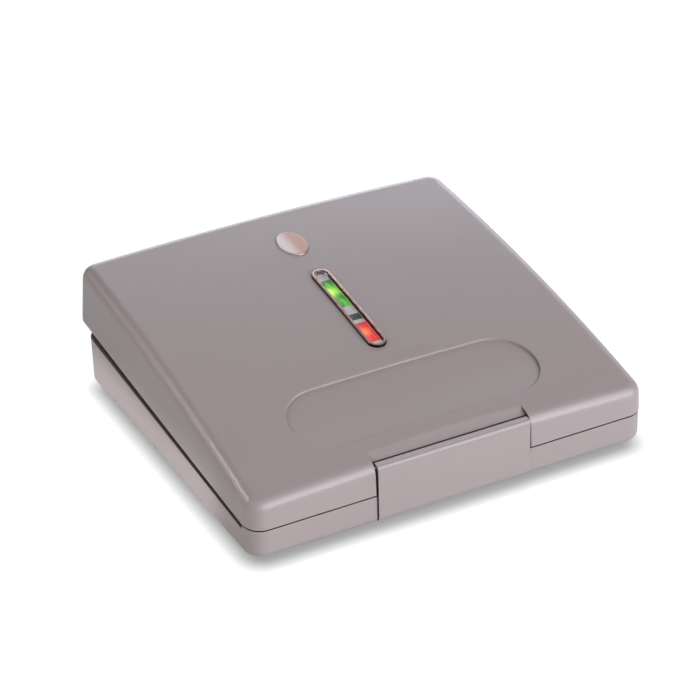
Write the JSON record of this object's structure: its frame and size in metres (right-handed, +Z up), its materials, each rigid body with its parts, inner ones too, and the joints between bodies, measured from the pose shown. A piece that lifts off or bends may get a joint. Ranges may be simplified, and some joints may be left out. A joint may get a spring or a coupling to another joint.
{
  "type": "sandwich maker",
  "caption": "Closed electric sandwich maker with a crowned lid, finger recess, lamp window and front latch, hinged at the back over a low base with coated plates.",
  "frame": {"origin": "on the surface it stands on, under the middle of the closed body", "axes": "+X to its right seen from the front, +Y from the latch towards the hinges at the back, +Z up"},
  "size_m": [0.23, 0.2198, 0.0709],
  "materials": {
    "housing": "smooth satin moulded plastic, warm grey",
    "underside": "fine moulded texture",
    "deck": "heat resistant moulded plastic",
    "non_stick": "die cast with a black non-stick coating",
    "screw_steel": "zinc plated",
    "pin_steel": "drawn bright steel",
    "element": "oxidised steel sheath",
    "reflector_sheet": "bright rolled sheet",
    "ceramic_white": "glazed, off white",
    "rubber": "soft moulded rubber",
    "control_metal": "pressed cap",
    "rose_metal": "polished rose tint",
    "clear_lens": "clear polished plastic",
    "green_filter": "translucent coloured plastic",
    "red_filter": "translucent coloured plastic",
    "lamp_glass": "clear glass neon lamp",
    "holder": "plain moulded plastic, light grey",
    "divider": "dark moulded plastic"
  },
  "bodies": {
    "base": {"base_shell": "housing", "bottom_cover": "underside", "cover_screws": "screw_steel", "rubber_foot_left_front": "rubber", "rubber_foot_left_back": "rubber", "rubber_foot_right_front": "rubber", "rubber_foot_right_back": "rubber", "lower_plate": "non_stick", "lower_plate_screws": "screw_steel", "lower_heater": "element", "lower_reflector": "reflector_sheet", "lower_reflector_screws": "screw_steel", "thermal_fuse": "ceramic_white", "terminal_block": "ceramic_white", "cord_inlet_bush": "rubber", "hinge_pin_left": "pin_steel", "hinge_pin_right": "pin_steel"},
    "lid": {"lid_shell": "housing", "lid_frame": "deck", "lid_frame_screws": "screw_steel", "upper_plate": "non_stick", "upper_plate_screws": "screw_steel", "upper_heater": "element", "upper_reflector": "reflector_sheet", "upper_reflector_screws": "screw_steel", "thermostat": "control_metal", "lamp_bezel": "rose_metal", "lamp_lens": "clear_lens", "green_filter": "green_filter", "red_filter": "red_filter", "green_lamp": "lamp_glass", "red_lamp": "lamp_glass", "lamp_divider": "divider", "lamp_holder": "holder", "badge_disc": "rose_metal", "latch_pin_left": "pin_steel", "latch_pin_right": "pin_steel"},
    "latch": {"latch_clip": "housing"}
  },
  "joints": [
    {"name": "lid_hinge", "type": "hinge", "parent": "base", "child": "lid", "pos_m": [0, 0.0993, 0.0355], "axis": [-1, 0, 0], "range_deg": [0, 105]},
    {"name": "latch_swing", "type": "hinge", "parent": "lid", "child": "latch", "pos_m": [0, -0.1066, 0.0368], "axis": [-1, 0, 0], "range_deg": [0, 40]}
  ]
}
